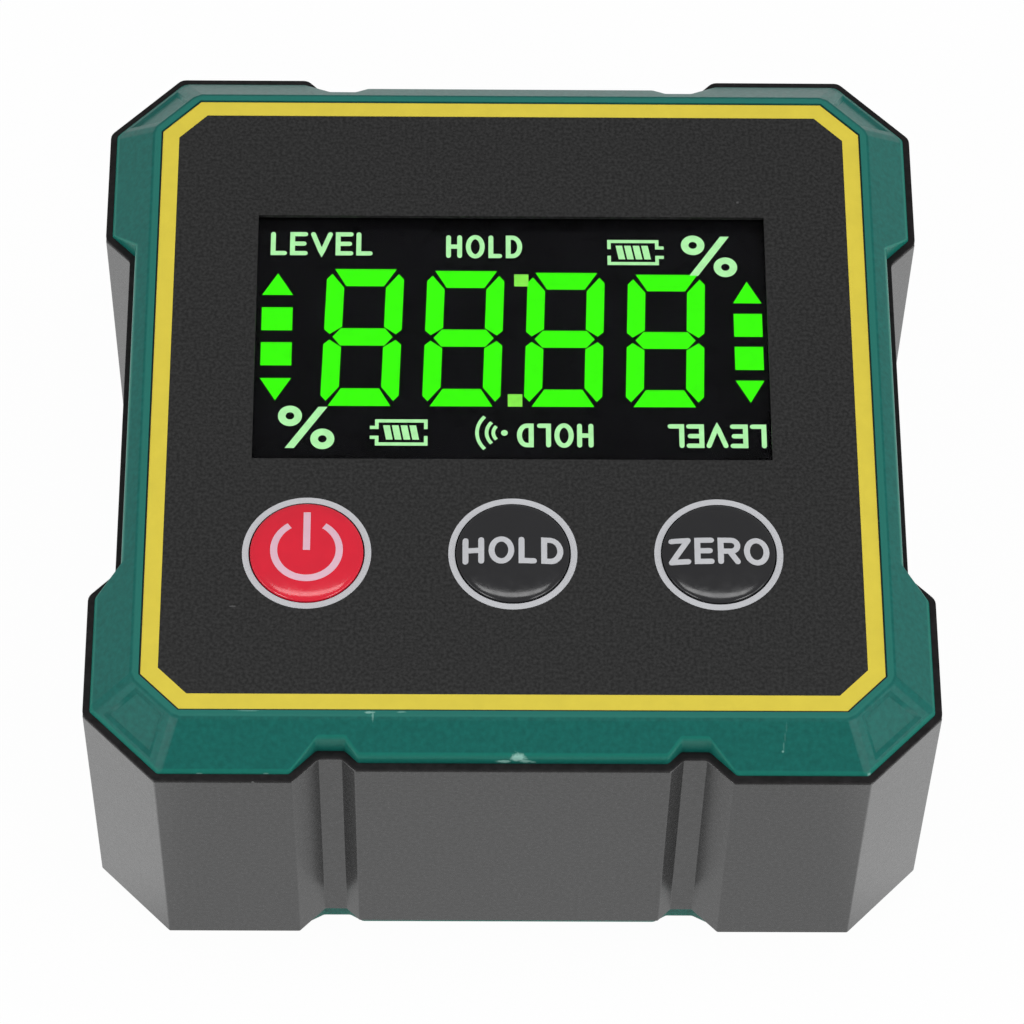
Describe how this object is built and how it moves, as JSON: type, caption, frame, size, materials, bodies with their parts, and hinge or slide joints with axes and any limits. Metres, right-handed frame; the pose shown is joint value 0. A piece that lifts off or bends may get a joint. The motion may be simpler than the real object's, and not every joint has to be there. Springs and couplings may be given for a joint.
{
  "type": "digital angle gauge",
  "caption": "Square box level that shows its tilt on a lit display, with domed keys on the face and magnets behind the cut-cornered measuring sides.",
  "frame": {"origin": "middle of the back cover's flat face, on which the gauge lies", "axes": "+Z out of the display, +X to the right of the display, -Y towards the key row's side"},
  "size_m": [0.06, 0.06, 0.0299],
  "materials": {
    "teal_shell": "satin moulded plastic",
    "grey_sleeve": "fine grained moulded plastic",
    "black_seal": "matt rubber",
    "face_film": "fine grained printed film",
    "lens_clear": "clear polished plastic",
    "display_black": "black display with lit green segments",
    "diffuser_white": "milky diffuser",
    "board_green": "solder mask",
    "chip_black": "moulded package",
    "plunger_white": "moulded plastic",
    "key_red": "polished dome with a pale sign",
    "key_black": "polished dome with a pale word",
    "steel": "plated",
    "magnet_plate": "nickel plated",
    "cell_wrap": "printed wrap without marks"
  },
  "bodies": {
    "housing": {"front_bezel": "teal_shell", "back_cover": "teal_shell", "body_sleeve": "grey_sleeve", "front_seal": "black_seal", "rear_seal": "black_seal", "face_overlay": "face_film", "display_lens": "lens_clear", "display_glass": "display_black", "backlight": "diffuser_white", "main_board": "board_green", "tilt_sensor": "chip_black", "processor": "chip_black", "buzzer": "chip_black", "power_switch": "chip_black", "hold_switch": "chip_black", "zero_switch": "chip_black", "display_pins": "steel", "board_screws": "steel", "housing_screws": "steel", "link_contact": "steel", "positive_contact": "steel", "negative_contact": "steel", "contact_springs": "steel", "front_magnets": "magnet_plate", "rear_magnets": "magnet_plate", "left_magnets": "magnet_plate", "right_magnets": "magnet_plate", "upper_cell": "cell_wrap", "lower_cell": "cell_wrap"},
    "power_key": {"power_key": "key_red", "power_plunger": "plunger_white"},
    "hold_key": {"hold_key": "key_black", "hold_plunger": "plunger_white"},
    "zero_key": {"zero_key": "key_black", "zero_plunger": "plunger_white"},
    "battery_door": {"battery_door": "teal_shell"}
  },
  "joints": [
    {"name": "power_press", "type": "slide", "parent": "housing", "child": "power_key", "axis": [0, 0, -1], "range_m": [0, 0.00035], "stiffness_N_per_m": 2000},
    {"name": "hold_press", "type": "slide", "parent": "housing", "child": "hold_key", "axis": [0, 0, -1], "range_m": [0, 0.00035], "stiffness_N_per_m": 2000},
    {"name": "zero_press", "type": "slide", "parent": "housing", "child": "zero_key", "axis": [0, 0, -1], "range_m": [0, 0.00035], "stiffness_N_per_m": 2000},
    {"name": "battery_door_hinge", "type": "hinge", "parent": "housing", "child": "battery_door", "pos_m": [0, 0.01235, 0], "axis": [1, 0, 0], "range_deg": [0, 60]}
  ]
}
